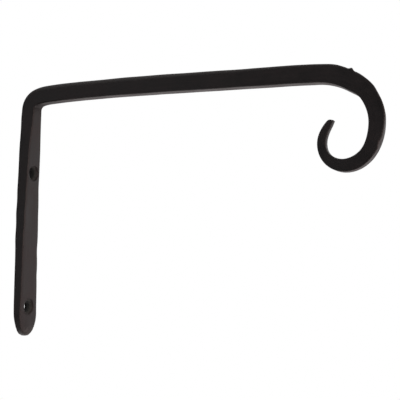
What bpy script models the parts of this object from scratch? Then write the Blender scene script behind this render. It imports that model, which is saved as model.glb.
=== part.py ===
"""A wall bracket for a hanging plant, forged in one piece from a bar of iron.

The bar stands on the wall as a leg with two countersunk screw holes, turns a tight corner into a level
arm, and ends in a hook that curls down and back to a thin tip. +X points away from the wall along the
arm, +Z is up, and the origin lies on the wall face, midway between the screw holes. Lengths are in
metres.

The whole bar follows one line, its outer line: up the wall face, round the outside of the corner, along
the top of the arm and round the outside of the hook. The bar's height is measured inwards from that line
and its width runs across it, half to each side.
"""

import math

import bmesh
import bpy
from mathutils import Matrix, Vector

MM = 0.001

# The bar as it is before forging
BAR_HEIGHT = 9.65 * MM
BAR_WIDTH = 7.5 * MM
EDGE_RADIUS = 0.7 * MM

# The leg: it is drawn out thinner and wider from its top to its foot
HOLE_SPACING = 76.2 * MM
LEG_ABOVE_HOLES = 36.65 * MM
LEG_BELOW_HOLES = 16.6 * MM
LEG_TOP_HEIGHT = 8.5 * MM
LEG_TOP_WIDTH = 7.9 * MM
FOOT_HEIGHT = 4.9 * MM
FOOT_WIDTH = 16.5 * MM
FOOT_ROUND = 13.0 * MM
FOOT_FULLNESS = 1.8  # 2 is an ellipse, less is more pointed

# How far the drawing out has gone at places along the leg, as shares from its top to its lower hole
DRAWN_OUT_SHARES = ((0.0, 0.0), (0.1, 0.22), (0.2, 0.45), (0.4, 0.67), (0.6, 0.84), (0.8, 0.94), (1.0, 1.0))

# The screw holes
BORE_DIAMETER = 6.4 * MM
SINK_DIAMETER = 9.1 * MM
SINK_ANGLE = math.radians(90)
CUT_OVERRUN = 3.0 * MM

# The corner between leg and arm, sharpest at the bottom and easing into the arm
CORNER_RADIUS = 3.55 * MM
CORNER_TURN = math.radians(66.33)
CORNER_HEIGHT = 9.1 * MM
EASING_RADIUS = 16.02 * MM
EASING_TURN = math.radians(20.33)

# The arm: a slight rise out of the corner, then level
RISE_RADIUS = 990.1 * MM
RISE_TURN = math.radians(3.34)
ARM_LENGTH = 97.2 * MM

# The hook: bends that follow each other, each with its inner radius, its turn and the height at its end
CROWN_RADIUS = 32.75 * MM
CROWN_TURN = math.radians(33.53)
CROWN_HEIGHT = 9.8 * MM
SHOULDER_RADIUS = 11.78 * MM
SHOULDER_TURN = math.radians(23.81)
SHOULDER_HEIGHT = 8.61 * MM
SIDE_RADIUS = 22.06 * MM
SIDE_TURN = math.radians(66.39)
SIDE_HEIGHT = 7.08 * MM
BASE_RADIUS = 10.58 * MM
BASE_TURN = math.radians(48.85)
BASE_HEIGHT = 6.77 * MM
BASE_WIDTH = 6.8 * MM
CURL_RADIUS = 7.27 * MM
CURL_TURN = math.radians(116.85)
CURL_HEIGHT = 4.15 * MM
TIP_RADIUS = 17.55 * MM
TIP_TURN = math.radians(24.45)
TIP_HEIGHT = 3.35 * MM
TIP_WIDTH = 4.6 * MM
TIP_ROUND = 0.9 * MM

# How finely the forms are drawn
EDGE_STEPS = 3
FOOT_STEPS = 8
TIP_STEPS = 3
DEGREES_PER_STEP = 5.0
STRAIGHT_STEPS = 10
HOLE_SIDES = 32
EDGE_SHARE = 0.3  # the most that an eased edge takes of a thin section's height or width

IRON_COLOUR = (0.012, 0.011, 0.011, 1.0)
IRON_ROUGHNESS = 0.5


def blend(start, end, share):
    """The value that lies this share of the way from start to end."""
    return start + (end - start) * share


def drawn_out(share):
    """How far the leg is drawn out at a share of the way from its top to its lower hole."""
    for (low, low_drawn), (high, high_drawn) in zip(DRAWN_OUT_SHARES, DRAWN_OUT_SHARES[1:]):
        if share <= high:
            return blend(low_drawn, high_drawn, (share - low) / (high - low))
    return DRAWN_OUT_SHARES[-1][1]


def leg_section(above_lower_hole):
    """The leg's height and width at a distance above its lower hole."""
    run = HOLE_SPACING + LEG_ABOVE_HOLES
    share = drawn_out(1 - max(above_lower_hole, 0) / run)
    return blend(LEG_TOP_HEIGHT, FOOT_HEIGHT, share), blend(LEG_TOP_WIDTH, FOOT_WIDTH, share)


class Bar:
    """A bar built section by section along its outer line, which starts at a point and heads straight up."""

    def __init__(self, start, height, width):
        self.mesh = bmesh.new()
        self.place = Vector((start[0], 0, start[1]))
        self.heading = math.radians(90)
        self.height = height
        self.width = width
        self.ring = None

    def along(self):
        """The direction that the outer line heads in."""
        return Vector((math.cos(self.heading), 0, math.sin(self.heading)))

    def inwards(self):
        """The direction from the outer line into the bar."""
        return Vector((math.sin(self.heading), 0, -math.cos(self.heading)))

    def outline(self, inset, width):
        """A section's corners, rounded, as places across the bar and depths from the outer line."""
        half_width = width / 2 - inset
        half_height = self.height / 2 - inset
        edge = min(EDGE_RADIUS, EDGE_SHARE * half_width * 2, EDGE_SHARE * half_height * 2)
        points = []
        for corner, (side, end) in enumerate(((1, 1), (-1, 1), (-1, -1), (1, -1))):
            for step in range(EDGE_STEPS + 1):
                angle = math.radians(90) * (corner + step / EDGE_STEPS)
                across = side * (half_width - edge) + edge * math.cos(angle)
                depth = self.height / 2 + end * (half_height - edge) + edge * math.sin(angle)
                points.append((across, depth))
        return points

    def section(self, inset=0.0, width=None):
        """Adds a section where the line is now and joins it to the one before."""
        inwards = self.inwards()
        outline = self.outline(inset, self.width if width is None else width)
        ring = [self.mesh.verts.new(self.place + Vector((0, y, 0)) + inwards * depth) for y, depth in outline]
        if self.ring is None:
            self.mesh.faces.new(ring)
        else:
            self.join(self.ring, ring)
        self.ring = ring

    def join(self, before, after):
        """Faces between two sections."""
        count = len(after)
        for i in range(count):
            j = (i + 1) % count
            self.mesh.faces.new((before[j], before[i], after[i], after[j]))

    def straight(self, length, height, width, steps=STRAIGHT_STEPS):
        """Runs on straight to a new height and width."""
        start, height_before, width_before = self.place.copy(), self.height, self.width
        for step in range(1, steps + 1):
            share = step / steps
            self.place = start + self.along() * length * share
            self.height = blend(height_before, height, share)
            self.width = blend(width_before, width, share)
            self.section()

    def bend(self, inner_radius, turn, height, width):
        """Turns towards the inside round a centre, to a new height and width."""
        outer_radius = inner_radius + self.height
        centre = self.place + self.inwards() * outer_radius
        heading, height_before, width_before = self.heading, self.height, self.width
        steps = max(2, round(math.degrees(turn) / DEGREES_PER_STEP))
        for step in range(1, steps + 1):
            share = step / steps
            self.heading = heading - turn * share
            self.place = centre - self.inwards() * outer_radius
            self.height = blend(height_before, height, share)
            self.width = blend(width_before, width, share)
            self.section()

    def finish(self):
        """Closes the last section and returns the mesh."""
        self.mesh.faces.new(list(reversed(self.ring)))
        bmesh.ops.recalc_face_normals(self.mesh, faces=self.mesh.faces)
        return self.mesh


def foot(bar):
    """The leg's rounded end, FOOT_ROUND long and a little more pointed than half an ellipse."""
    end = bar.place.copy()
    for step in range(1, FOOT_STEPS + 1):
        angle = math.radians(90) * step / FOOT_STEPS
        bar.place = end + bar.along() * FOOT_ROUND * (1 - math.cos(angle) ** (2 / FOOT_FULLNESS))
        bar.section(width=FOOT_WIDTH * math.sin(angle) ** (2 / FOOT_FULLNESS))


def leg(bar):
    """From the rounded foot up past both screw holes to the corner."""
    foot(bar)
    bar.straight(LEG_BELOW_HOLES - FOOT_ROUND, FOOT_HEIGHT, FOOT_WIDTH, steps=1)
    lower_hole = bar.place.copy()
    run = HOLE_SPACING + LEG_ABOVE_HOLES
    for step in range(1, 2 * STRAIGHT_STEPS + 1):
        above = run * step / (2 * STRAIGHT_STEPS)
        bar.place = lower_hole + bar.along() * above
        bar.height, bar.width = leg_section(above)
        bar.section()


def arm(bar):
    """Out of the corner and along to the hook."""
    bar.bend(CORNER_RADIUS, CORNER_TURN, CORNER_HEIGHT, BAR_WIDTH)
    bar.bend(EASING_RADIUS, EASING_TURN, BAR_HEIGHT, BAR_WIDTH)
    bar.bend(RISE_RADIUS, RISE_TURN, BAR_HEIGHT, BAR_WIDTH)
    bar.straight(ARM_LENGTH, BAR_HEIGHT, BAR_WIDTH, steps=2)


def hook(bar):
    """Down round the outside and back up to the blunt tip, tapering all the way."""
    bar.bend(CROWN_RADIUS, CROWN_TURN, CROWN_HEIGHT, BAR_WIDTH)
    bar.bend(SHOULDER_RADIUS, SHOULDER_TURN, SHOULDER_HEIGHT, BAR_WIDTH)
    bar.bend(SIDE_RADIUS, SIDE_TURN, SIDE_HEIGHT, BAR_WIDTH)
    bar.bend(BASE_RADIUS, BASE_TURN, BASE_HEIGHT, BASE_WIDTH)
    bar.bend(CURL_RADIUS, CURL_TURN, CURL_HEIGHT, TIP_WIDTH)
    bar.bend(TIP_RADIUS, TIP_TURN, TIP_HEIGHT, TIP_WIDTH)
    end = bar.place.copy()
    for step in range(1, TIP_STEPS + 1):
        angle = math.radians(90) * step / TIP_STEPS
        bar.place = end + bar.along() * TIP_ROUND * math.sin(angle)
        bar.section(inset=TIP_ROUND * (1 - math.cos(angle)))


def bracket_mesh():
    """The whole forged bar, before its holes are cut."""
    start = (0, -HOLE_SPACING / 2 - LEG_BELOW_HOLES)
    bar = Bar(start, FOOT_HEIGHT, FOOT_WIDTH)
    leg(bar)
    arm(bar)
    hook(bar)
    return bar.finish()


def add_object(name, mesh, collection):
    """An object of a bmesh, in a collection."""
    data = bpy.data.meshes.new(name)
    mesh.to_mesh(data)
    mesh.free()
    made = bpy.data.objects.new(name, data)
    collection.objects.link(made)
    return made


def screw_hole(name, above_lower_hole, collection):
    """A cutter for a countersunk hole: a profile turned round the hole's axis, which points off the wall."""
    face = leg_section(above_lower_hole)[0]
    bore = BORE_DIAMETER / 2
    sink = SINK_DIAMETER / 2
    depth = (sink - bore) / math.tan(SINK_ANGLE / 2)
    flare = sink + CUT_OVERRUN * math.tan(SINK_ANGLE / 2)
    profile = (
        (-CUT_OVERRUN, 0),
        (-CUT_OVERRUN, bore),
        (face - depth, bore),
        (face + CUT_OVERRUN, flare),
        (face + CUT_OVERRUN, 0),
    )
    mesh = bmesh.new()
    corners = [mesh.verts.new((x, radius, 0)) for x, radius in profile]
    edges = [mesh.edges.new(pair) for pair in zip(corners, corners[1:])]
    bmesh.ops.spin(
        mesh,
        geom=corners + edges,
        cent=(0, 0, 0),
        axis=(1, 0, 0),
        angle=math.radians(360),
        steps=HOLE_SIDES,
        use_merge=True,
    )
    bmesh.ops.remove_doubles(mesh, verts=mesh.verts, dist=BORE_DIAMETER / 1000)
    bmesh.ops.recalc_face_normals(mesh, faces=mesh.faces)
    cutter = add_object(name, mesh, collection)
    cutter.location.z = above_lower_hole - HOLE_SPACING / 2
    cutter.hide_render = True
    cutter.display_type = "WIRE"
    return cutter


def cut(part, cutter):
    """Takes the cutter's shape out of the part."""
    modifier = part.modifiers.new(cutter.name, "BOOLEAN")
    modifier.operation = "DIFFERENCE"
    modifier.solver = "EXACT"
    modifier.object = cutter


def blackened_iron():
    """Forged iron under a thin satin black finish."""
    material = bpy.data.materials.new("blackened_iron")
    material.use_nodes = True
    surface = material.node_tree.nodes["Principled BSDF"]
    surface.inputs["Base Color"].default_value = IRON_COLOUR
    surface.inputs["Roughness"].default_value = IRON_ROUGHNESS
    surface.inputs["Metallic"].default_value = 0.0
    return material


def main():
    for old in list(bpy.data.objects):
        bpy.data.objects.remove(old)
    parts = bpy.data.collections.new("plant_bracket")
    cutters = bpy.data.collections.new("cutters")
    bpy.context.scene.collection.children.link(parts)
    bpy.context.scene.collection.children.link(cutters)

    bracket = add_object("forged_bracket", bracket_mesh(), parts)
    bracket.data.materials.append(blackened_iron())
    bracket.data.shade_smooth()
    bracket.data.set_sharp_from_angle(angle=math.radians(40))
    cut(bracket, screw_hole("lower_screw_hole", 0, cutters))
    cut(bracket, screw_hole("upper_screw_hole", HOLE_SPACING, cutters))


main()
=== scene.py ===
"""How the hanging plant bracket looks: one bar of iron, forged, drilled and given a satin black finish.

The bar is made the way a smith makes it. A straight blank with eased edges is drawn out to its section at
each place, marked by the hammer, laid along the bends of its outer line, and drilled for its two screws.
It stands for the CAD node forged_bracket, whose sizes it repeats. +X points away from the wall along the
arm, +Z is up, and the origin lies on the wall face, midway between the screw holes. Lengths are in metres.
"""

import bisect
import logging
import math
from collections.abc import Mapping, Sequence
from dataclasses import astuple, dataclass, field
from enum import Enum
from typing import Any, ClassVar

import bmesh
import bpy
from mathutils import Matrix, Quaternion, Vector, noise


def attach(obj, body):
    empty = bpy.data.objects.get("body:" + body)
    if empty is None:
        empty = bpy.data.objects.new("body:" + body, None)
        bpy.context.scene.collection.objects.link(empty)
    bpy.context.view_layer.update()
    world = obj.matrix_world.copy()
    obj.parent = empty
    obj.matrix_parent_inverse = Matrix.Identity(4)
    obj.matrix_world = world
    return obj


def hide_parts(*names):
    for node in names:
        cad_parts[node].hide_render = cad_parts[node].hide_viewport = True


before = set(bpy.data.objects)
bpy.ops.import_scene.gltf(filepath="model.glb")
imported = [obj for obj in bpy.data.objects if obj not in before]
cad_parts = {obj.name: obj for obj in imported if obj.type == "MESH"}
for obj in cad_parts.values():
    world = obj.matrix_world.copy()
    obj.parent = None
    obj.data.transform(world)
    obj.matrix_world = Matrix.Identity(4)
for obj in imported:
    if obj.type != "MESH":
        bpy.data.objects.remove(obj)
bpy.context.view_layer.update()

MM = 0.001
TOUCH = 0.01 * MM
RIGHT_ANGLE = math.radians(90)
FULL_TURN = math.radians(360)
# What the finish reads at each point: where it lay in the straight bar, and three shares from 0 to 1.
# The three shares: lighter edges, as scuffing and as a painted highlight; painted light in the bores;
# painted shade in the holes and inside the corner.
STRAIGHT_PLACE = "straight_place"
EDGE_WEAR_AND_HIGHLIGHT = "edge_wear_and_highlight"
BORE_LIGHT = "painted_bore_light"
PAINTED_HOLLOW_SHADE = "painted_hollow_shade"

log = logging.getLogger("plant_bracket")


def blend(start: float, end: float, share: float) -> float:
    """Finds the value that lies a share of the way between two others.

    Args:
        start: The value at a share of 0.
        end: The value at a share of 1.
        share: How far to go.

    Returns:
        The value there.
    """
    return start + (end - start) * share


def clamped(value: float) -> float:
    """Returns the value, held between 0 and 1."""
    return min(max(value, 0.0), 1.0)


def linear(colour: str) -> tuple[float, float, float, float]:
    """Turns a colour as it is seen on a screen into the one that light adds up in.

    Args:
        colour: Six hex digits of sRGB after a hash.

    Returns:
        Red, green and blue in linear light, and a full alpha.
    """
    channels = (int(colour[i : i + 2], 16) / 255 for i in (1, 3, 5))
    red, green, blue = (c / 12.92 if c <= 0.04045 else ((c + 0.055) / 1.055) ** 2.4 for c in channels)
    return red, green, blue, 1.0


def add_node(
    tree: bpy.types.NodeTree,
    kind: str,
    settings: Mapping[str, Any] | None = None,
    inputs: Mapping[str | int, Any] | None = None,
) -> bpy.types.Node:
    """Adds a node with its settings, and fills or links its inputs.

    Args:
        tree: The tree that gets the node.
        kind: The node's type.
        settings: The node's own properties.
        inputs: For a socket's name or number, its value, or the socket that feeds it.

    Returns:
        The new node.
    """
    node = tree.nodes.new(kind)
    for name, value in (settings or {}).items():
        setattr(node, name, value)
    for name, value in (inputs or {}).items():
        if isinstance(value, bpy.types.NodeSocket):
            tree.links.new(value, node.inputs[name])
        else:
            node.inputs[name].default_value = value
    return node


def add_object(name: str, mesh: bmesh.types.BMesh) -> bpy.types.Object:
    """Makes an object of a finished bmesh and frees it.

    Args:
        name: The object's name.
        mesh: What it is made of, already in its place.

    Returns:
        The object, at the origin.
    """
    data = bpy.data.meshes.new(name)
    mesh.to_mesh(data)
    mesh.free()
    made = bpy.data.objects.new(name, data)
    bpy.context.scene.collection.objects.link(made)
    return made


class Face(Enum):
    """The bar's four long faces, as the side of the section that each lies on."""

    OUTER = "the wall face, the arm's top and the outside of the hook"
    INNER = "the leg's front, the arm's underside and the inside of the hook"
    NEAR = "the side towards -Y"
    FAR = "the side towards +Y"


@dataclass(frozen=True)
class Section:
    """The bar's size at one place: its height inwards from the outer line, and its width across.

    The edges of its outer and its inner face are eased: each runs in across the face by its run, and down
    the side by its drop.
    """

    height: float
    width: float
    outer_run: float = 0.8 * MM
    outer_drop: float = 2.0 * MM
    inner_run: float = 0.6 * MM
    inner_drop: float = 0.7 * MM

    def towards(self, other: "Section", share: float) -> "Section":
        """Returns the section that lies a share of the way to another."""
        return Section(*(blend(a, b, share) for a, b in zip(astuple(self), astuple(other))))


@dataclass(frozen=True)
class Stretch:
    """A stretch of the bar: straight over a length, or bent by a turn about an inner radius."""

    end: Section
    length: float = 0.0
    inner_radius: float = 0.0
    turn: float = 0.0


@dataclass(frozen=True)
class Station:
    """A place on the outer line, with its heading in the XZ plane and the bar's section there."""

    place: Vector
    heading: float
    section: Section

    def along(self) -> Vector:
        """Returns the direction in which the line heads."""
        return Vector((math.cos(self.heading), 0, math.sin(self.heading)))

    def inwards(self) -> Vector:
        """Returns the direction from the outer line into the bar."""
        return Vector((math.sin(self.heading), 0, -math.cos(self.heading)))


class OuterLine:
    """The line that the bar follows: up the wall, over the corner, along the arm and round the hook."""

    def __init__(self, start: Station, stretches: Sequence[Stretch]) -> None:
        """Lays the stretches end to end.

        Args:
            start: Where the line begins.
            stretches: What it runs through, in order.
        """
        self.stations = [start]
        self.stretches = list(stretches)
        self.distances = [0.0]
        for stretch in stretches:
            before = self.stations[-1]
            length = stretch.length + self.radius(before, stretch) * stretch.turn
            self.stations.append(self.moved(before, stretch, 1.0))
            self.distances.append(self.distances[-1] + length)

    @staticmethod
    def radius(before: Station, stretch: Stretch) -> float:
        """Returns the radius of the outer line through a bend."""
        return stretch.inner_radius + before.section.height

    def moved(self, before: Station, stretch: Stretch, share: float) -> Station:
        """Goes part of the way through a stretch.

        Args:
            before: The station that the stretch starts at.
            stretch: The stretch.
            share: How far to go through it.

        Returns:
            The station there.
        """
        section = before.section.towards(stretch.end, share)
        if not stretch.turn:
            return Station(before.place + before.along() * stretch.length * share, before.heading, section)
        radius = self.radius(before, stretch)
        centre = before.place + before.inwards() * radius
        turned = Station(centre, before.heading - stretch.turn * share, section)
        return Station(centre - turned.inwards() * radius, turned.heading, section)

    @property
    def length(self) -> float:
        """The whole line's length."""
        return self.distances[-1]

    def at(self, distance: float) -> Station:
        """Finds a station by its distance from the line's start.

        Args:
            distance: How far along the line it lies.

        Returns:
            The station.
        """
        index = min(max(bisect.bisect_right(self.distances, distance) - 1, 0), len(self.stretches) - 1)
        share = (distance - self.distances[index]) / (self.distances[index + 1] - self.distances[index])
        return self.moved(self.stations[index], self.stretches[index], share)

    def section_at(self, distance: float, evened: float) -> Section:
        """Finds the bar's section, evened out over a short length, because a hammer leaves no steps.

        Args:
            distance: How far along the line it lies.
            evened: The length to even it out over, to each side.

        Returns:
            The section.
        """
        places = (distance + evened * halves / 2 for halves in (-2, -1, 0, 1, 2))
        near = [astuple(self.at(min(max(place, 0), self.length)).section) for place in places]
        return Section(*(sum(sizes) / len(near) for sizes in zip(*near)))


@dataclass(frozen=True)
class HammerMark:
    """A shallow hollow on one face of the bar, or a bump where its depth is below zero.

    It lies at a distance along the bar and a share of the way across the face, from -1 at its near or outer
    edge to 1 at the other. It fades out over its length and breadth, and is gone past a few lengths. All
    but the share is in millimetres.
    """

    LENGTHS_TO_NOTHING: ClassVar[float] = 3.0

    face: Face
    distance: float
    across_share: float
    length: float
    breadth: float
    depth: float

    def push(self, place: Vector, section: Section) -> Vector:
        """Finds how far the mark moves a point of the straightened bar.

        Args:
            place: The point: along the bar, across it, and inwards from its outer line.
            section: The bar's section there.

        Returns:
            The move.
        """
        gone = (place.x / MM - self.distance) / self.length
        if abs(gone) > self.LENGTHS_TO_NOTHING:
            return Vector((0, 0, 0))
        if self.face in (Face.OUTER, Face.INNER):
            sideways = place.y - self.across_share * section.width / 2
            under = (place.z if self.face is Face.OUTER else section.height - place.z) / section.height
            inwards = Vector((0, 0, 1 if self.face is Face.OUTER else -1))
        else:
            sideways = place.z - (1 + self.across_share) * section.height / 2
            under = 0.5 - place.y * (1 if self.face is Face.FAR else -1) / section.width
            inwards = Vector((0, -1 if self.face is Face.FAR else 1, 0))
        sunk = self.depth * MM * math.exp(-(gone**2) - (sideways / MM / self.breadth) ** 2)
        return inwards * sunk * max(1 - under, 0) ** 2


HAMMER_MARKS = (
    # Each is given by its face, distance, share across, length, breadth and depth.
    # the foot: its near rim hammered thin, its far side left thick, the corners of its end left full
    HammerMark(Face.INNER, 5.0, -1.0, 12.0, 6.0, 0.6),
    HammerMark(Face.INNER, 7.0, 1.0, 6.0, 4.0, -0.25),
    HammerMark(Face.NEAR, 7.0, 0.0, 6.0, 20.0, 0.35),
    HammerMark(Face.FAR, 4.0, 0.0, 8.0, 20.0, -0.4),
    HammerMark(Face.NEAR, 1.5, 0.0, 2.5, 20.0, -1.35),
    HammerMark(Face.FAR, 1.8, 0.0, 2.8, 20.0, -1.4),
    # the leg's sides and front
    HammerMark(Face.FAR, 34.0, 0.0, 4.0, 20.0, 0.35),
    HammerMark(Face.FAR, 48.5, 0.0, 5.0, 20.0, 0.5),
    HammerMark(Face.FAR, 69.0, 0.0, 4.5, 20.0, 0.2),
    HammerMark(Face.FAR, 85.0, 0.0, 7.0, 20.0, 0.45),
    HammerMark(Face.FAR, 107.0, 0.0, 8.0, 20.0, -0.2),
    HammerMark(Face.NEAR, 55.5, 0.0, 4.5, 20.0, -0.4),
    HammerMark(Face.NEAR, 70.0, 0.0, 4.5, 20.0, -0.5),
    HammerMark(Face.NEAR, 83.0, 0.0, 4.0, 20.0, -0.2),
    HammerMark(Face.NEAR, 125.0, 0.0, 4.0, 20.0, -0.3),
    HammerMark(Face.INNER, 70.0, -1.0, 14.0, 3.5, -0.2),
    HammerMark(Face.INNER, 112.0, -1.0, 9.0, 3.5, 0.15),
    # the corner, bent over the anvil's edge
    HammerMark(Face.INNER, 133.0, -1.0, 4.0, 4.5, 0.7),
    HammerMark(Face.INNER, 149.0, 0.0, 4.5, 20.0, -0.15),
    # the arm's top and underside
    HammerMark(Face.OUTER, 150.0, 0.0, 4.0, 20.0, 0.1),
    HammerMark(Face.OUTER, 163.0, 0.0, 5.0, 20.0, -0.1),
    HammerMark(Face.OUTER, 188.0, 0.0, 10.0, 20.0, 0.2),
    HammerMark(Face.OUTER, 225.0, 0.0, 8.0, 20.0, -0.1),
    HammerMark(Face.OUTER, 268.0, 0.0, 12.0, 20.0, 0.15),
    HammerMark(Face.INNER, 224.0, 0.0, 8.0, 20.0, 0.1),
    HammerMark(Face.INNER, 243.0, 0.0, 12.0, 20.0, 0.1),
    HammerMark(Face.INNER, 267.0, 0.0, 10.0, 20.0, 0.1),
    HammerMark(Face.INNER, 293.0, 0.0, 8.0, 20.0, 0.1),
    HammerMark(Face.INNER, 307.0, 0.0, 5.0, 20.0, -0.1),
    # the crown, with a burr on its near edge
    HammerMark(Face.OUTER, 304.0, 0.0, 5.0, 20.0, 0.08),
    HammerMark(Face.OUTER, 310.5, 0.0, 4.5, 20.0, 0.3),
    HammerMark(Face.OUTER, 318.5, 0.0, 3.0, 20.0, -0.15),
    HammerMark(Face.OUTER, 325.2, -1.0, 0.9, 1.5, 0.15),
    HammerMark(Face.OUTER, 326.8, -1.0, 1.0, 1.5, -0.95),
    HammerMark(Face.OUTER, 328.8, -1.0, 1.2, 3.0, 0.15),
    HammerMark(Face.OUTER, 333.5, 0.0, 3.5, 20.0, 0.1),
    HammerMark(Face.OUTER, 342.0, 0.0, 3.5, 20.0, -0.1),
    # the hook's outside, with a step on its near edge
    HammerMark(Face.OUTER, 337.0, 0.0, 4.0, 20.0, 0.2),
    HammerMark(Face.OUTER, 345.0, 0.0, 4.0, 20.0, 0.3),
    HammerMark(Face.OUTER, 355.5, 0.0, 3.0, 20.0, -0.2),
    HammerMark(Face.OUTER, 364.0, 0.0, 6.0, 20.0, 0.05),
    HammerMark(Face.OUTER, 381.0, 0.0, 5.0, 20.0, 0.15),
    HammerMark(Face.OUTER, 350.0, -1.0, 11.0, 4.0, -0.45),
    HammerMark(Face.OUTER, 350.0, 1.0, 11.0, 4.0, 0.4),
    HammerMark(Face.OUTER, 370.4, -1.0, 2.1, 3.0, 0.62),
    HammerMark(Face.OUTER, 373.4, -1.0, 1.2, 3.0, -0.25),
    HammerMark(Face.OUTER, 422.0, 0.0, 6.0, 20.0, -0.2),
    # the hook's inside, thinned towards the tip
    HammerMark(Face.INNER, 355.0, 0.0, 6.0, 20.0, 0.15),
    HammerMark(Face.INNER, 375.0, 0.0, 6.0, 20.0, 0.2),
    HammerMark(Face.INNER, 391.0, 0.0, 4.5, 20.0, 0.1),
    HammerMark(Face.INNER, 410.0, 0.0, 6.0, 20.0, 0.5),
    HammerMark(Face.INNER, 427.5, 0.0, 2.5, 20.0, 0.05),
    HammerMark(Face.INNER, 431.5, 0.0, 2.2, 20.0, 0.85),
)


@dataclass(frozen=True)
class Cloud:
    """A cloudy pattern: the size of its patches, how many finer layers it has, and how strong each is."""

    size: float
    layers: float
    strength: float


@dataclass(frozen=True)
class BlackenedIron:
    """Forged iron under a thin satin black lacquer.

    The lacquer is too thin to hide the iron, so the eye gets a dark, slightly warm surface with a broad
    soft gloss that brightens where it is seen at a slant, lengthwise streaks from drawing out, and a fine
    grain of fire scale. It lies thinner on the edges, which are painted a little lighter and browner,
    partly as scuffing and partly as a painted highlight where the eased edges meet the light, and it has
    chipped off in specks at the foot's end. The screw holes and the inside of the corner are painted darker
    and dull, as painted shade. The bores are painted lighter near their mouths, as painted light falling
    into the holes.
    """

    name: str = "satin_black_lacquer_on_forged_iron"
    dark: str = "#262324"
    light: str = "#373132"
    # the edges' colour, where the lacquer is scuffed and where a highlight is painted on them
    worn_and_highlit: str = "#6c6a69"
    # painted light on the bores' walls near their mouths
    cut: str = "#666b68"
    # painted shade in the screw holes and inside the corner
    hollow_shade: str = "#131212"
    ior: float = 1.45
    gloss: float = 0.5
    rough_low: float = 0.44
    rough_high: float = 0.60

    patches: Cloud = Cloud(14 * MM, 4.0, 0.6)
    streaks: Cloud = Cloud(1.3 * MM, 3.0, 0.55)
    streak_length: float = 15 * MM
    streak_share: float = 0.35
    tone_low: float = 0.36
    tone_high: float = 0.64

    # Fire scale is about 0.2 mm across, too fine to show at this size, so its grain is drawn coarser.
    grain: Cloud = Cloud(0.9 * MM, 4.0, 0.65)
    grain_depth: float = 0.05 * MM
    streaks_in_grain: float = 0.5

    specks: Cloud = Cloud(0.8 * MM, 1.0, 0.5)
    speck_low: float = 0.42
    speck_high: float = 0.58
    speck_share: float = 0.45
    specks_to: float = 2.0 * MM
    specks_end: float = 6.0 * MM

    def material(self) -> bpy.types.Material:
        """Makes the material.

        Returns:
            The material, ready for a mesh that carries the bar's four attributes.
        """
        made = bpy.data.materials.new(self.name)
        made.use_nodes = True
        tree = made.node_tree
        tree.nodes.clear()
        place = add_node(tree, "ShaderNodeAttribute", {"attribute_name": STRAIGHT_PLACE}).outputs["Vector"]
        # The shares of the lighter edges with their painted highlight, of painted light in the bores, and
        # of painted shade in the hollows.
        wear_and_highlight, cut, hollow_shade = (
            add_node(tree, "ShaderNodeAttribute", {"attribute_name": name}).outputs["Fac"]
            for name in (EDGE_WEAR_AND_HIGHLIGHT, BORE_LIGHT, PAINTED_HOLLOW_SHADE)
        )
        along = add_node(tree, "ShaderNodeSeparateXYZ", inputs={"Vector": place}).outputs["X"]
        drawn_out = add_node(
            tree,
            "ShaderNodeMapping",
            inputs={"Vector": place, "Scale": (self.streaks.size / self.streak_length, 1, 1)},
        ).outputs["Vector"]
        patches, streaks, grain, specks = (
            add_node(
                tree,
                "ShaderNodeTexNoise",
                inputs={
                    "Vector": where,
                    "Scale": 1 / cloud.size,
                    "Detail": cloud.layers,
                    "Roughness": cloud.strength,
                },
            ).outputs["Fac"]
            for cloud, where in (
                (self.patches, place),
                (self.streaks, drawn_out),
                (self.grain, place),
                (self.specks, place),
            )
        )
        tone, relief = (
            add_node(
                tree,
                "ShaderNodeMix",
                {"data_type": "FLOAT"},
                {0: share, 2: under, 3: streaks},
            ).outputs[0]
            for share, under in ((self.streak_share, patches), (self.streaks_in_grain, grain))
        )
        # Where painted shade lies, the gloss is taken away too, so it reads darker and dull.
        spread, rough, struck, speckled, gloss = (
            add_node(
                tree,
                "ShaderNodeMapRange",
                inputs={"Value": value, "From Min": low, "From Max": high, "To Min": start, "To Max": end},
            ).outputs["Result"]
            for value, low, high, start, end in (
                (tone, self.tone_low, self.tone_high, 0.0, 1.0),
                (tone, self.tone_low, self.tone_high, self.rough_low, self.rough_high),
                (along, self.specks_to, self.specks_end, self.speck_share, 0.0),
                (specks, self.speck_low, self.speck_high, 0.0, 1.0),
                (hollow_shade, 0.0, 1.0, self.gloss, 0.0),
            )
        )
        # The edges are painted lighter, partly as scuffing and partly as a painted highlight; the chips at
        # the foot's end are real.
        thin, chipped = (
            add_node(tree, "ShaderNodeMath", {"operation": "MULTIPLY"}, {0: first, 1: second}).outputs[0]
            for first, second in ((wear_and_highlight, grain), (struck, speckled))
        )
        lightened = add_node(tree, "ShaderNodeMath", {"operation": "MAXIMUM"}, {0: thin, 1: chipped}).outputs[0]
        colour = linear(self.dark)
        # Over the random tone go the lighter edges with their painted highlight, painted light in the
        # bores, and painted shade in the hollows.
        layers = ((spread, self.light), (lightened, self.worn_and_highlit), (cut, self.cut), (hollow_shade, self.hollow_shade))
        for share, layer in layers:
            colour = add_node(
                tree,
                "ShaderNodeMix",
                {"data_type": "RGBA"},
                {0: share, 6: colour, 7: linear(layer)},
            ).outputs[2]
        bump = add_node(
            tree,
            "ShaderNodeBump",
            inputs={"Height": relief, "Strength": 1.0, "Distance": self.grain_depth},
        ).outputs["Normal"]
        surface = add_node(
            tree,
            "ShaderNodeBsdfPrincipled",
            inputs={
                "Base Color": colour,
                "Roughness": rough,
                "Metallic": 0.0,
                "IOR": self.ior,
                "Specular IOR Level": gloss,
                "Normal": bump,
            },
        ).outputs["BSDF"]
        add_node(tree, "ShaderNodeOutputMaterial", inputs={"Surface": surface})
        return made


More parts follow.
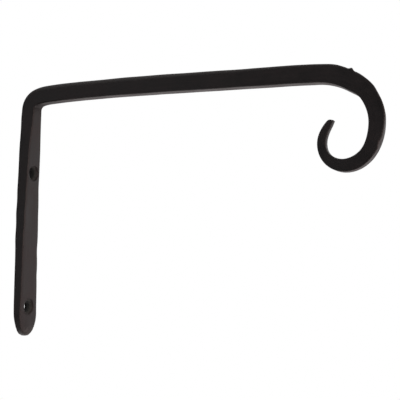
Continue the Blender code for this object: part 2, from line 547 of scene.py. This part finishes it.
@dataclass(frozen=True)
class ScrewHole:
    """A countersunk hole through the leg, on an axis that points off the wall.

    Its rim is broken by the lip, and its mouth, where the sink meets the bore, is rounded. A point that
    lies no further than the slack from the drilled surface counts as drilled.
    """

    name: str
    height_on_wall: float
    bore_diameter: float = 6.4 * MM
    sink_diameter: float = 9.1 * MM
    sink_angle: float = math.radians(90)
    lip: float = 0.25 * MM
    slack: float = 0.0625 * MM
    mouth_round: float = 0.9 * MM
    mouth_segments: int = 6
    # how light the bore is painted near its mouth, as painted light
    bore_light_share: float = 0.8
    # how dark the sink and the rim are painted, as painted shade; the bore gets it in full
    shade_on_sink: float = 0.4
    shade_on_rim: float = 0.2
    overrun: float = 3.0 * MM
    sides: int = 64

    @property
    def bore(self) -> float:
        """The bore's radius."""
        return self.bore_diameter / 2

    @property
    def sink(self) -> float:
        """The sink's radius at the leg's front."""
        return self.sink_diameter / 2

    def mouth(self, face: float) -> float:
        """Returns how far off the wall the sink meets the bore, where the leg's front is at the face."""
        return face - (self.sink - self.bore) / math.tan(self.sink_angle / 2)

    def cutter(self, face: float) -> bpy.types.Object:
        """Turns the hole's shape round its axis: the bore and the sink, with their edges rounded off.

        Args:
            face: How far the leg's front stands off the wall at the hole.

        Returns:
            The cutter, to be removed once it has cut.
        """
        mouth = self.mouth(face)
        rim = self.sink + self.lip * (1 / math.tan(self.sink_angle / 4) - 1) / 2
        outline = (
            (-self.overrun, 0.0),
            (-self.overrun, self.bore),
            (mouth, self.bore),
            (face - self.lip, self.sink - self.lip),
            (face, rim),
            (face + self.overrun, self.sink + self.overrun),
            (face + self.overrun, 0.0),
        )
        mesh = bmesh.new()
        corners = [mesh.verts.new((x, radius, 0)) for x, radius in outline]
        edges = [mesh.edges.new(pair) for pair in zip(corners, corners[1:])]
        bmesh.ops.spin(
            mesh,
            geom=corners + edges,
            cent=(0, 0, 0),
            axis=(1, 0, 0),
            angle=FULL_TURN,
            steps=self.sides,
            use_merge=True,
        )
        bmesh.ops.remove_doubles(mesh, verts=mesh.verts, dist=TOUCH)
        bmesh.ops.bevel(
            mesh,
            geom=[e for e in mesh.edges if all(abs(v.co.x - mouth) < TOUCH for v in e.verts)],
            offset=self.mouth_round,
            offset_type="OFFSET",
            segments=self.mouth_segments,
            profile=0.5,
            affect="EDGES",
            material=-1,
        )
        bmesh.ops.recalc_face_normals(mesh, faces=mesh.faces)
        bmesh.ops.translate(mesh, vec=(0, 0, self.height_on_wall), verts=mesh.verts)
        return add_object(self.name, mesh)

    def finish(self, place: Vector, face: float) -> tuple[float, float] | None:
        """Finds what the finish does at a point of the drilled leg.

        The bore is painted lighter near the hole's mouth, as painted light falling into the hole. Elsewhere
        the hole is painted darker, as painted shade, most of all in the bore.

        Args:
            place: The point.
            face: How far the leg's front stands off the wall at the hole.

        Returns:
            The shares of painted light and of painted shade, or None where the drill has not been.
        """
        radius = math.hypot(place.y, place.z - self.height_on_wall)
        mouth = self.mouth(face)
        widest = self.sink + self.lip if place.x > mouth - self.mouth_round else self.bore
        if radius > widest + self.slack or place.x > face + self.sink_diameter:
            return None
        edge = self.sink - self.lip
        # Painted light, strongest in the bore next to the mouth and fading towards the wall and up the
        # sink.
        bore_lit = clamped(place.x / mouth) * clamped((edge - radius) / (edge - self.bore))
        # Painted shade, full in the bore and weaker on the sink and the rim.
        hollow_shade = 1.0
        if radius >= self.bore + self.slack:
            hollow_shade = self.shade_on_sink if radius <= self.sink else self.shade_on_rim
        return self.bore_light_share * bore_lit, (1 - bore_lit) * hollow_shade


@dataclass
class ForgedBar:
    """The whole bracket: leg, corner, arm and hook, in one bar. Its sizes are the CAD part's."""

    # the bar, its eased edges, how much lighter the edges are painted, as scuffing and as a painted
    # highlight, and the painted shade inside the corner
    bar: Section = Section(9.5 * MM, 7.5 * MM)
    blank_edge: float = 0.5 * MM
    edge_share: float = 0.35
    full_wear_and_highlight_drop: float = 2.0 * MM
    corner_shade: float = 0.6
    corner_shade_middle: float = 150.0 * MM
    corner_shade_length: float = 13.0 * MM

    # the leg and its foot, and how far the bar is drawn out at each share of the way down
    hole_spacing: float = 76.2 * MM
    leg_above_holes: float = 36.65 * MM
    leg_below_holes: float = 16.6 * MM
    leg_top: Section = Section(8.5 * MM, 7.9 * MM, 0.6 * MM, 0.8 * MM, 0.6 * MM, 0.7 * MM)
    foot: Section = Section(4.9 * MM, 16.5 * MM, 0.5 * MM, 0.5 * MM, 0.6 * MM, 0.7 * MM)
    foot_end: Section = Section(4.2 * MM, 17.3 * MM, 1.2 * MM, 1.6 * MM, 0.6 * MM, 0.7 * MM)
    foot_round: float = 13.0 * MM
    foot_fullness: float = 1.8
    drawn_out_shares: tuple[tuple[float, float], ...] = (
        (0.0, 0.0),
        (0.1, 0.22),
        (0.2, 0.45),
        (0.4, 0.67),
        (0.6, 0.84),
        (0.8, 0.94),
        (1.0, 1.0),
    )

    # the corner, the arm and the hook
    corner: Stretch = Stretch(
        Section(9.1 * MM, 7.5 * MM),
        inner_radius=3.55 * MM,
        turn=math.radians(66.33),
    )
    easing: Stretch = Stretch(
        Section(9.6 * MM, 7.5 * MM, 0.9 * MM, 2.6 * MM),
        inner_radius=16.02 * MM,
        turn=math.radians(20.33),
    )
    rise: Stretch = Stretch(
        Section(9.7 * MM, 7.5 * MM, 0.9 * MM, 2.6 * MM),
        inner_radius=990.1 * MM,
        turn=math.radians(3.34),
    )
    arm: Stretch = Stretch(Section(9.61 * MM, 7.5 * MM, 0.6 * MM, 1.2 * MM), length=97.2 * MM)
    crown: Stretch = Stretch(
        Section(9.8 * MM, 7.5 * MM, 0.5 * MM, 0.9 * MM),
        inner_radius=32.75 * MM,
        turn=math.radians(33.53),
    )
    shoulder: Stretch = Stretch(
        Section(8.61 * MM, 7.5 * MM, 0.5 * MM, 0.9 * MM),
        inner_radius=11.78 * MM,
        turn=math.radians(23.81),
    )
    side: Stretch = Stretch(
        Section(7.08 * MM, 7.5 * MM, 0.5 * MM, 0.9 * MM),
        inner_radius=22.06 * MM,
        turn=math.radians(66.39),
    )
    base: Stretch = Stretch(
        Section(6.77 * MM, 6.8 * MM, 0.5 * MM, 0.7 * MM),
        inner_radius=10.58 * MM,
        turn=math.radians(48.85),
    )
    curl: Stretch = Stretch(
        Section(4.15 * MM, 4.6 * MM, 0.5 * MM, 0.7 * MM),
        inner_radius=7.27 * MM,
        turn=math.radians(116.85),
    )
    tip: Stretch = Stretch(
        Section(3.35 * MM, 4.6 * MM, 0.6 * MM, 1.1 * MM, 0.6 * MM, 0.9 * MM),
        inner_radius=17.55 * MM,
        turn=math.radians(24.45),
    )
    tip_end: Stretch = Stretch(
        Section(3.35 * MM, 4.6 * MM, 0.6 * MM, 1.1 * MM, 0.6 * MM, 1.0 * MM),
        length=1.0 * MM,
    )

    # the cut that ends the tip, level although the bar runs slantwise there
    tip_lean: float = 1.5 * MM
    tip_round: float = 1.4 * MM
    tip_reach: float = 5.0 * MM

    # how finely the bar is modelled, and how uneven the hammer leaves it
    evened: float = 3.0 * MM
    step_along: float = 0.55 * MM
    cuts_across: int = 6
    edge_segments: int = 5
    sharp_from: float = math.radians(40)
    unevenness: float = 0.05 * MM
    unevenness_size: float = 11 * MM
    unevenness_seed: int = 1
    marks: tuple[HammerMark, ...] = HAMMER_MARKS
    finish: BlackenedIron = field(default_factory=BlackenedIron)

    def __post_init__(self) -> None:
        """Works out the outer line and the blank from the sizes."""
        start = Station(Vector((0, 0, self.leg_end)), RIGHT_ANGLE, self.foot_end)
        top = [self.corner, self.easing, self.rise, self.arm]
        hook = [self.crown, self.shoulder, self.side, self.base, self.curl, self.tip, self.tip_end]
        self.line = OuterLine(start, [*self.leg(), *top, *hook])
        self.blank_round = self.foot.width / 2
        self.blank_length = self.line.length - self.foot_round + self.blank_round

    @property
    def leg_end(self) -> float:
        """The height of the foot's end."""
        return -self.hole_spacing / 2 - self.leg_below_holes

    def leg(self) -> list[Stretch]:
        """Lists the leg's stretches, from its end up to the corner, each drawn out by its share.

        Returns:
            The stretches, in order.
        """
        run = self.hole_spacing + self.leg_above_holes
        stretches = [Stretch(self.foot, length=self.leg_below_holes)]
        upwards = list(reversed(self.drawn_out_shares))
        for (low, _), (high, drawn) in zip(upwards, upwards[1:]):
            stretches.append(Stretch(self.leg_top.towards(self.foot, drawn), length=run * (low - high)))
        return stretches

    def blank(self) -> bmesh.types.BMesh:
        """Makes the straight bar before forging: a block with its edges eased, in small even faces.

        Returns:
            The blank, from X 0 at the foot, centred on Y, with its outer face at Z 0.
        """
        mesh = bmesh.new()
        size = Vector((self.blank_length, self.foot.width, self.bar.height))
        bmesh.ops.create_cube(mesh, size=1.0)
        bmesh.ops.scale(mesh, vec=size, verts=mesh.verts)
        bmesh.ops.translate(mesh, vec=(size.x / 2, 0, size.z / 2), verts=mesh.verts)
        steps = round(self.blank_length / self.step_along)
        lengthwise = [e for e in mesh.edges if abs(e.verts[0].co.x - e.verts[1].co.x) > size.x / 2]
        bmesh.ops.subdivide_edges(mesh, edges=lengthwise, cuts=steps - 1, use_grid_fill=True)
        bmesh.ops.bevel(
            mesh,
            geom=[e for e in mesh.edges if self.is_eased(e, size)],
            offset=self.blank_edge,
            offset_type="OFFSET",
            segments=self.edge_segments,
            profile=0.5,
            affect="EDGES",
            material=-1,
        )
        # The rungs cross a face from one eased edge to the other.
        rungs = []
        for edge in mesh.edges:
            span = edge.verts[0].co - edge.verts[1].co
            if abs(span.y) > size.y - 3 * self.blank_edge or abs(span.z) > size.z - 3 * self.blank_edge:
                rungs.append(edge)
        bmesh.ops.subdivide_edges(mesh, edges=rungs, cuts=self.cuts_across, use_grid_fill=True)
        return mesh

    def is_eased(self, edge: bmesh.types.BMEdge, size: Vector) -> bool:
        """Says whether an edge of the block is eased: all but the foot's uprights, which its round takes.

        Args:
            edge: The edge.
            size: The block's size.

        Returns:
            Whether it lies on one of the block's edges to be eased.
        """
        middle = (edge.verts[0].co + edge.verts[1].co) / 2
        on_side = abs(abs(middle.y) - size.y / 2) < TOUCH
        on_face = abs(abs(middle.z - size.z / 2) - size.z / 2) < TOUCH
        on_foot = middle.x < TOUCH
        on_tip = middle.x > size.x - TOUCH
        return on_side + on_face + on_foot + on_tip >= 2 and not (on_foot and on_side)

    def inset(self, blank_inset: float, blank_half: float, half: float, edge: float) -> float:
        """Draws a distance from the blank's side out to the forged bar's, and keeps the eased edge whole.

        Args:
            blank_inset: The distance from the blank's nearest side.
            blank_half: Half the blank's size across that side.
            half: Half the forged bar's size.
            edge: How far in the forged bar's eased edge reaches.

        Returns:
            The distance from the forged bar's side.
        """
        if blank_inset <= self.blank_edge:
            return edge * blank_inset / self.blank_edge
        return blend(edge, half, (blank_inset - self.blank_edge) / (blank_half - self.blank_edge))

    def drawn(self, blank: Vector) -> tuple[Vector, Section]:
        """Draws a point of the blank out to the bar's section, as if the bar were still straight.

        Args:
            blank: The point on the blank.

        Returns:
            The point along, across and inwards, and the section there.
        """
        distance = blank.x - self.blank_round + self.foot_round
        section = self.line.section_at(max(distance, 0), self.evened)
        blank_half_width = self.foot.width / 2
        blank_half_height = self.bar.height / 2
        on_outer = blank.z < blank_half_height
        run = min(section.outer_run if on_outer else section.inner_run, self.edge_share * section.width)
        drop = min(section.outer_drop if on_outer else section.inner_drop, self.edge_share * section.height)
        half_width = section.width / 2
        half_height = section.height / 2
        side_inset = self.inset(blank_half_width - abs(blank.y), blank_half_width, half_width, run)
        across = math.copysign(half_width - side_inset, blank.y)
        from_middle = blank.z - blank_half_height
        face_inset = self.inset(blank_half_height - abs(from_middle), blank_half_height, half_height, drop)
        depth = half_height + math.copysign(half_height - face_inset, from_middle)
        if blank.x < self.blank_round:
            # The blank's square end turns into the foot's round one.
            end_inset = self.inset(blank.x, blank_half_width, half_width, run)
            reach = 1 - end_inset / half_width
            out = abs(across) / half_width
            round_reach = (reach**self.foot_fullness + out**self.foot_fullness) ** (1 / self.foot_fullness)
            level = max(reach, out) / round_reach if round_reach else 0
            distance = self.foot_round * (1 - level * reach)
            across = math.copysign(half_width * level * out, blank.y)
        to_tip = self.blank_length - blank.x
        if to_tip < self.tip_reach:
            # The tip is rounded off, and its cut leans further the nearer it is to the end.
            distance = self.line.length - self.inset(to_tip, self.tip_reach, self.tip_reach, self.tip_round)
            cut = 1 - to_tip / self.tip_reach
            distance += self.tip_lean * cut**2 * (depth / section.height - 0.5)
        return Vector((distance, across, depth)), section

    def hammered(self, place: Vector, section: Section) -> Vector:
        """Marks a point of the straightened bar with the hammer.

        Args:
            place: The point along, across and inwards.
            section: The section there.

        Returns:
            Where the marks leave it.
        """
        sway = noise.noise_vector(place / self.unevenness_size)
        moved = place + Vector((0, sway.y, sway.z)) * self.unevenness
        for mark in self.marks:
            moved += mark.push(place, section)
        return moved

    def laid(self, place: Vector) -> Vector:
        """Lays a point of the straightened bar on the bar's bends.

        Args:
            place: The point along, across and inwards.

        Returns:
            The point in the part's frame.
        """
        station = self.line.at(place.x)
        return station.place + station.inwards() * place.z + Vector((0, place.y, 0))

    def forge(self, mesh: bmesh.types.BMesh) -> None:
        """Draws out, marks and bends the blank, and notes on it what the finish needs.

        Args:
            mesh: The blank.
        """
        # Left to itself, the noise would start from the clock and give another bar each time.
        noise.seed_set(self.unevenness_seed)
        places = mesh.verts.layers.float_vector.new(STRAIGHT_PLACE)
        wear_and_highlight = mesh.verts.layers.float.new(EDGE_WEAR_AND_HIGHLIGHT)
        mesh.verts.layers.float.new(BORE_LIGHT)
        hollow_shade = mesh.verts.layers.float.new(PAINTED_HOLLOW_SHADE)
        half_width = self.foot.width / 2
        half_height = self.bar.height / 2
        for point in mesh.verts:
            blank = point.co.copy()
            side = min(half_width - abs(blank.y), blank.x, self.blank_length - blank.x)
            top = half_height - abs(blank.z - half_height)
            drawn, section = self.drawn(blank)
            # The eased edges are painted lighter, as scuffing and as a painted highlight, the more so where
            # the edge runs further down the side and catches more light.
            if max(side, top) < self.blank_edge:
                drop = section.outer_drop if blank.z < half_height else section.inner_drop
                point[wear_and_highlight] = (1 - abs(side - top) / self.blank_edge) * min(drop / self.full_wear_and_highlight_drop, 1)
            if blank.z > self.bar.height - self.blank_edge:
                # On the inner face, painted shade darkens the inside of the corner, where the leg keeps
                # light off the arm's underside.
                gone = (drawn.x - self.corner_shade_middle) / self.corner_shade_length
                point[hollow_shade] = self.corner_shade * math.exp(-(gone**2))
            point[places] = drawn
            point.co = self.laid(self.hammered(drawn, section))
        bmesh.ops.recalc_face_normals(mesh, faces=mesh.faces)

    def holes(self) -> list[ScrewHole]:
        """Sizes the two screw holes, midway about the origin.

        Returns:
            The lower one and the upper one.
        """
        return [
            ScrewHole("lower_screw_hole", -self.hole_spacing / 2),
            ScrewHole("upper_screw_hole", self.hole_spacing / 2),
        ]

    def drill(self, bar: bpy.types.Object) -> None:
        """Cuts the screw holes out of the bar, and notes on it the painted light and painted shade in them.

        Args:
            bar: The bar, which gets a new mesh.
        """
        cutters = []
        faces = {}
        for hole in self.holes():
            faces[hole] = self.line.section_at(hole.height_on_wall - self.leg_end, self.evened).height
            cutter = hole.cutter(faces[hole])
            cut = bar.modifiers.new(hole.name, "BOOLEAN")
            cut.operation = "DIFFERENCE"
            cut.solver = "EXACT"
            cut.object = cutter
            cutters.append(cutter)
        bpy.context.view_layer.update()
        graph = bpy.context.evaluated_depsgraph_get()
        drilled = bpy.data.meshes.new_from_object(bar.evaluated_get(graph))
        bar.modifiers.clear()
        bar.data = drilled
        for cutter in cutters:
            bpy.data.objects.remove(cutter)
        places, wear_and_highlight, lightened, hollow_shade = (
            drilled.attributes[name].data for name in (STRAIGHT_PLACE, EDGE_WEAR_AND_HIGHLIGHT, BORE_LIGHT, PAINTED_HOLLOW_SHADE)
        )
        for point in drilled.vertices:
            for hole, face in faces.items():
                finish = hole.finish(point.co, face)
                if finish is not None:
                    places[point.index].vector = (point.co.z - self.leg_end, point.co.y, point.co.x)
                    wear_and_highlight[point.index].value = 0
                    lightened[point.index].value, hollow_shade[point.index].value = finish

    def build(self) -> bpy.types.Object:
        """Forges, drills and finishes the bar.

        Returns:
            The bar, which stands for the CAD node.
        """
        mesh = self.blank()
        self.forge(mesh)
        bar = add_object("forged_bar", mesh)
        self.drill(bar)
        bar.data.materials.clear()
        bar.data.materials.append(self.finish.material())
        bar.data.shade_smooth()
        bar.data.set_sharp_from_angle(angle=self.sharp_from)
        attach(bar, "root")
        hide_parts("forged_bracket")
        return bar


@dataclass(frozen=True)
class SoftBox:
    """A square lamp behind a diffuser, aimed at the bracket."""

    name: str
    place: Vector
    side: float
    watts: float
    colour: str = "#ffffff"

    def build(self, target: Vector) -> bpy.types.Object:
        """Makes the lamp.

        Args:
            target: The point that it is aimed at.

        Returns:
            The lamp's object.
        """
        lamp = bpy.data.lights.new(self.name, "AREA")
        lamp.shape = "SQUARE"
        lamp.size = self.side
        lamp.energy = self.watts
        lamp.color = linear(self.colour)[:3]
        made = bpy.data.objects.new(self.name, lamp)
        made.location = self.place
        made.rotation_mode = "QUATERNION"
        made.rotation_quaternion = (target - self.place).to_track_quat("-Z", "Y")
        made.visible_camera = False
        bpy.context.scene.collection.objects.link(made)
        return made


@dataclass(frozen=True)
class Studio:
    """A white sweep with soft light from behind and above, and a darker room on the camera's side."""

    target: Vector = field(default_factory=lambda: Vector((109.04, 0, 21.78)) * MM)
    camera_distance: float = 432.05 * MM
    camera_azimuth: float = math.radians(21.14)
    camera_elevation: float = math.radians(-3.05)
    camera_roll: float = math.radians(0.55)
    lens_millimetres: float = 73.54
    sensor_millimetres: float = 36.0

    floor_drop: float = 0.45
    floor_side: float = 12.0
    white: str = "#ffffff"
    ground: str = "#fff3f3"

    # The room fades with a direction's cosine to the backdrop, and with how far up or down it points.
    backdrop: Vector = field(default_factory=lambda: Vector((-0.25, 0.9, -0.35)))
    backdrop_from: float = -0.1
    room_dark: float = 0.02
    room_light: float = 1.0
    overhead: float = 0.1
    overhead_from: float = 0.2
    ground_from: float = 0.05
    ground_full: float = -0.3

    boxes: tuple[SoftBox, ...] = (
        SoftBox("front_box", Vector((-0.60, -1.25, 0.06)), 0.6, 1.25),
        SoftBox("overhead_box", Vector((-0.15, -0.25, 0.8)), 0.8, 1.6),
        SoftBox("right_box", Vector((1.5, -0.1, 0.25)), 1.2, 8.8, "#ffd8cc"),
        SoftBox("fill_card", Vector((1.3, -0.65, 0.15)), 0.8, 2.6),
        SoftBox("sweep_glow", Vector((-0.05, 0.0, -0.45)), 0.6, 0.65),
    )

    def camera(self) -> bpy.types.Object:
        """Sets the camera up where the photograph was taken from.

        Returns:
            The camera's object.
        """
        data = bpy.data.cameras.new("photo_camera")
        data.sensor_width = self.sensor_millimetres
        data.lens = self.lens_millimetres
        made = bpy.data.objects.new("photo_camera", data)
        bpy.context.scene.collection.objects.link(made)
        level = math.cos(self.camera_elevation)
        back = Vector(
            (
                math.sin(self.camera_azimuth) * level,
                -math.cos(self.camera_azimuth) * level,
                math.sin(self.camera_elevation),
            )
        )
        made.location = self.target + back * self.camera_distance
        made.rotation_mode = "QUATERNION"
        roll = Quaternion((0, 0, 1), self.camera_roll)
        made.rotation_quaternion = (-back).to_track_quat("-Z", "Y") @ roll
        bpy.context.scene.camera = made
        return made

    def floor(self) -> bpy.types.Object:
        """Lays the pale floor, well below the bracket, which hangs at its height on a wall.

        Returns:
            The floor.
        """
        mesh = bmesh.new()
        bmesh.ops.create_grid(mesh, x_segments=1, y_segments=1, size=self.floor_side / 2)
        bmesh.ops.translate(mesh, vec=(0, 0, -self.floor_drop), verts=mesh.verts)
        made = add_object("pale_floor", mesh)
        material = bpy.data.materials.new("matt_white_sweep")
        material.use_nodes = True
        tree = material.node_tree
        tree.nodes.clear()
        shine = add_node(
            tree, "ShaderNodeEmission", inputs={"Color": linear(self.white), "Strength": 1.0}
        ).outputs["Emission"]
        add_node(tree, "ShaderNodeOutputMaterial", inputs={"Surface": shine})
        made.data.materials.append(material)
        made.visible_diffuse = False
        made.visible_glossy = False
        return made

    def room(self) -> None:
        """Lights the room: white behind and under the bracket, darker on the camera's side."""
        world = bpy.data.worlds.new("studio_room")
        bpy.context.scene.world = world
        world.use_nodes = True
        tree = world.node_tree
        tree.nodes.clear()
        direction = add_node(tree, "ShaderNodeTexCoord").outputs["Generated"]
        axes = add_node(tree, "ShaderNodeSeparateXYZ", inputs={"Vector": direction}).outputs
        facing = add_node(
            tree, "ShaderNodeVectorMath", {"operation": "DOT_PRODUCT"}, {0: direction, 1: self.backdrop}
        ).outputs["Value"]
        behind, above, below = (
            add_node(
                tree,
                "ShaderNodeMapRange",
                {"interpolation_type": fade},
                {"Value": value, "From Min": low, "From Max": high, "To Min": start, "To Max": end},
            ).outputs["Result"]
            for fade, value, low, high, start, end in (
                ("SMOOTHSTEP", facing, self.backdrop_from, 1.0, self.room_dark, self.room_light),
                ("SMOOTHSTEP", axes["Z"], self.overhead_from, 1.0, 0.0, self.overhead),
                ("LINEAR", axes["Z"], self.ground_full, self.ground_from, 1.0, 0.0),
            )
        )
        both = add_node(tree, "ShaderNodeMath", {"operation": "ADD"}, {0: behind, 1: above}).outputs[0]
        # Past the floor the camera sees plain white, whatever lights the bracket.
        seen = add_node(tree, "ShaderNodeLightPath").outputs["Is Camera Ray"]
        strength = add_node(
            tree,
            "ShaderNodeMix",
            {"data_type": "FLOAT"},
            {0: seen, 2: both, 3: self.room_light},
        ).outputs[0]
        colour = linear(self.white)
        for share, layer in ((below, self.ground), (seen, self.white)):
            colour = add_node(
                tree,
                "ShaderNodeMix",
                {"data_type": "RGBA"},
                {0: share, 6: colour, 7: linear(layer)},
            ).outputs[2]
        light = add_node(
            tree,
            "ShaderNodeBackground",
            inputs={"Color": colour, "Strength": strength},
        ).outputs["Background"]
        add_node(tree, "ShaderNodeOutputWorld", inputs={"Surface": light})

    def build(self) -> None:
        """Sets up the camera, the floor, the room and the lamps."""
        self.camera()
        self.floor()
        self.room()
        for box in self.boxes:
            box.build(self.target)
        bpy.context.scene.view_settings.view_transform = "Standard"


def main() -> None:
    """Builds the studio and the bracket, and reports each piece."""
    logging.basicConfig(level=logging.INFO, format="%(name)s: %(message)s")
    studio = Studio()
    studio.build()
    log.info("studio: camera, floor and %d lamps", len(studio.boxes))
    bar = ForgedBar().build()
    log.info("%s: %d faces", bar.name, len(bar.data.polygons))


if __name__ == "__main__":
    main()
